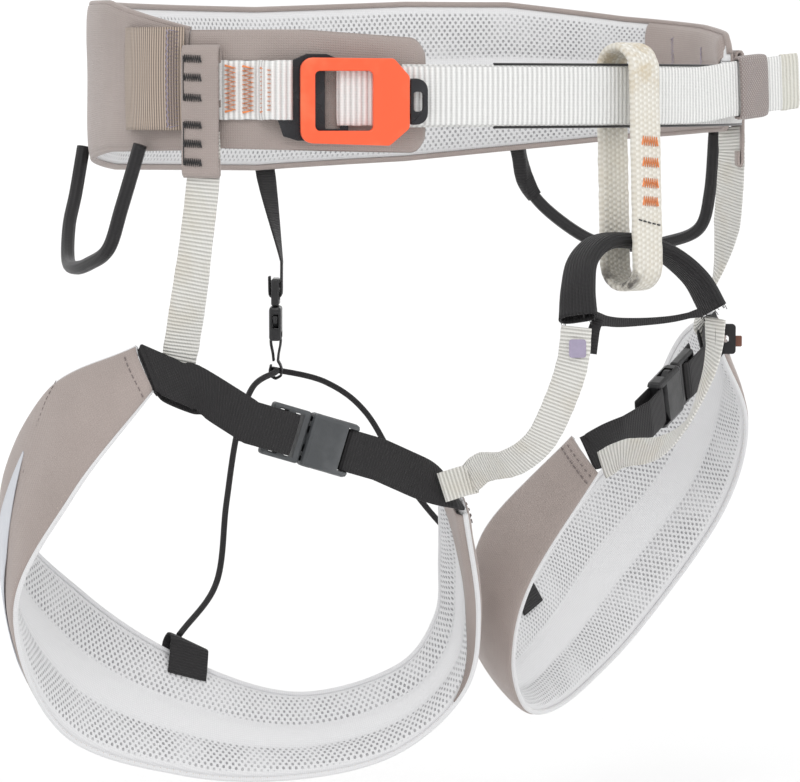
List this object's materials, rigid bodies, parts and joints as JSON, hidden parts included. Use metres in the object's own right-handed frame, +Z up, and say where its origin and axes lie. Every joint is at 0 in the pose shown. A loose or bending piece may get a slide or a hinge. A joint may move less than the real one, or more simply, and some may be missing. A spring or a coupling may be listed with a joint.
{
  "type": "climbing harness",
  "caption": "Lightweight climbing harness: padded mesh waist belt with a front buckle, belay loop, tie-in bridge, gear loops and buckled leg loops.",
  "frame": {"origin": "centre of the waist opening, at half the height of the belt at the wearer's sides", "axes": "+Z up the wearer's body, -Y the way the wearer faces, +X to the wearer's left"},
  "size_m": [0.3743, 0.2264, 0.292],
  "materials": {
    "shell_fabric": "matt warm grey ripstop shell fabric",
    "air_mesh": "soft white open air mesh",
    "white_webbing": "ribbed white webbing",
    "belay_webbing": "thick off-white woven webbing",
    "black_webbing": "ribbed black webbing and elastic",
    "buckle_plastic": "graphite moulded plastic",
    "anodised_aluminium": "orange anodised",
    "black_aluminium": "black anodised",
    "patch_fabric": "beige and brown ribbed elastic"
  },
  "bodies": {
    "belt": {"bridge_core": "white_webbing", "bridge_web_left": "white_webbing", "bridge_web_right": "white_webbing", "buckle_plate": "black_aluminium", "buckle_web_short": "white_webbing", "clipper_patch_left": "patch_fabric", "clipper_patch_right": "patch_fabric", "cross_elastic": "black_webbing", "drop_buckle_plug": "buckle_plastic", "drop_buckle_socket": "buckle_plastic", "drop_loop": "black_webbing", "drop_strap": "black_webbing", "front_pad_right": "shell_fabric", "hip_web_left": "white_webbing", "hip_web_right": "white_webbing", "riser_cord_left": "black_webbing", "riser_cord_right": "black_webbing", "tie_in_sleeve": "black_webbing", "tie_tab_left": "shell_fabric", "tie_tab_right": "shell_fabric", "waist_lining": "air_mesh", "waist_shell": "shell_fabric", "waist_strap_load": "white_webbing", "waist_strap_tail": "white_webbing"},
    "buckle_frame": {"buckle_frame": "anodised_aluminium", "buckle_hook": "black_aluminium"},
    "keeper": {"strap_keeper": "shell_fabric"},
    "belay_loop": {"belay_loop": "belay_webbing"},
    "leg_right": {"leg_shell_right": "shell_fabric", "leg_lining_right": "air_mesh", "leg_strap_outer_right": "black_webbing", "leg_hem_loop_right": "black_webbing", "leg_strap_inner_right": "black_webbing", "leg_buckle_socket_right": "buckle_plastic", "leg_buckle_plug_right": "buckle_plastic", "riser_tab_right": "black_webbing"},
    "leg_left": {"leg_shell_left": "shell_fabric", "leg_lining_left": "air_mesh", "leg_strap_outer_left": "black_webbing", "leg_hem_loop_left": "black_webbing", "leg_strap_inner_left": "black_webbing", "leg_buckle_socket_left": "buckle_plastic", "leg_buckle_plug_left": "buckle_plastic", "riser_tab_left": "black_webbing"},
    "gear_right": {"gear_loop_right": "black_webbing"},
    "gear_left": {"gear_loop_left": "black_webbing"},
    "leg_right_arm_a": {"leg_buckle_arm_a_right": "buckle_plastic"},
    "leg_right_arm_b": {"leg_buckle_arm_b_right": "buckle_plastic"},
    "leg_left_arm_a": {"leg_buckle_arm_a_left": "buckle_plastic"},
    "leg_left_arm_b": {"leg_buckle_arm_b_left": "buckle_plastic"},
    "drop_arm_a": {"drop_buckle_arm_a": "buckle_plastic"},
    "drop_arm_b": {"drop_buckle_arm_b": "buckle_plastic"}
  },
  "joints": [
    {"name": "buckle_frame_tilt", "type": "hinge", "parent": "belt", "child": "buckle_frame", "pos_m": [-0.11528, -0.06775, -0.004], "axis": [0, 0, -1], "range_deg": [0, 15]},
    {"name": "keeper_slide", "type": "slide", "parent": "belt", "child": "keeper", "axis": [0.9831, 0.1692, 0.0698], "range_m": [-0.008, 0.008]},
    {"name": "belay_slide", "type": "slide", "parent": "belt", "child": "belay_loop", "axis": [1, 0, 0], "range_m": [-0.012, 0.003]},
    {"name": "leg_right_swing", "type": "hinge", "parent": "belt", "child": "leg_right", "pos_m": [-0.08716, -0.04175, -0.12154], "axis": [-0.8799, 0.3467, 0.3251], "range_deg": [-8, 20], "stiffness_Nm_per_rad": 0.6, "deforming": ["hip_web_right", "bridge_web_right", "riser_cord_right"]},
    {"name": "leg_left_swing", "type": "hinge", "parent": "belt", "child": "leg_left", "pos_m": [0.08695, -0.04185, -0.12091], "axis": [-0.8765, -0.345, -0.3357], "range_deg": [-8, 20], "stiffness_Nm_per_rad": 0.6, "deforming": ["hip_web_left", "bridge_web_left", "riser_cord_left"]},
    {"name": "gear_right_swing", "type": "hinge", "parent": "belt", "child": "gear_right", "pos_m": [-0.14314, -0.0082, -0.02], "axis": [-0.3906, -0.9205, 0.0128], "range_deg": [-60, 8], "stiffness_Nm_per_rad": 0.05},
    {"name": "gear_left_swing", "type": "hinge", "parent": "belt", "child": "gear_left", "pos_m": [0.14037, -0.0217, -0.02], "axis": [-0.3089, 0.951, -0.0111], "range_deg": [-60, 8], "stiffness_Nm_per_rad": 0.05},
    {"name": "leg_right_arm_a_press", "type": "hinge", "parent": "leg_right", "child": "leg_right_arm_a", "pos_m": [-0.09462, -0.04308, -0.11845], "axis": [-0.3204, -0.9459, -0.051], "range_deg": [0, 7], "stiffness_Nm_per_rad": 0.06},
    {"name": "leg_right_arm_b_press", "type": "hinge", "parent": "leg_right", "child": "leg_right_arm_b", "pos_m": [-0.09756, -0.04151, -0.12914], "axis": [-0.3204, -0.9459, -0.051], "range_deg": [-7, 0], "stiffness_Nm_per_rad": 0.06},
    {"name": "leg_left_arm_a_press", "type": "hinge", "parent": "leg_left", "child": "leg_left_arm_a", "pos_m": [0.09792, -0.04139, -0.12108], "axis": [0.3238, -0.9448, -0.0501], "range_deg": [0, 7], "stiffness_Nm_per_rad": 0.06},
    {"name": "leg_left_arm_b_press", "type": "hinge", "parent": "leg_left", "child": "leg_left_arm_b", "pos_m": [0.0943, -0.04318, -0.11063], "axis": [0.3238, -0.9448, -0.0501], "range_deg": [-7, 0], "stiffness_Nm_per_rad": 0.06},
    {"name": "drop_arm_a_press", "type": "hinge", "parent": "belt", "child": "drop_arm_a", "pos_m": [0.00775, 0.09445, -0.08672], "axis": [0.7312, -0.6822, 0], "range_deg": [0, 7], "stiffness_Nm_per_rad": 0.06},
    {"name": "drop_arm_b_press", "type": "hinge", "parent": "belt", "child": "drop_arm_b", "pos_m": [0.00225, 0.08855, -0.08672], "axis": [0.7312, -0.6822, 0], "range_deg": [-7, 0], "stiffness_Nm_per_rad": 0.06}
  ]
}
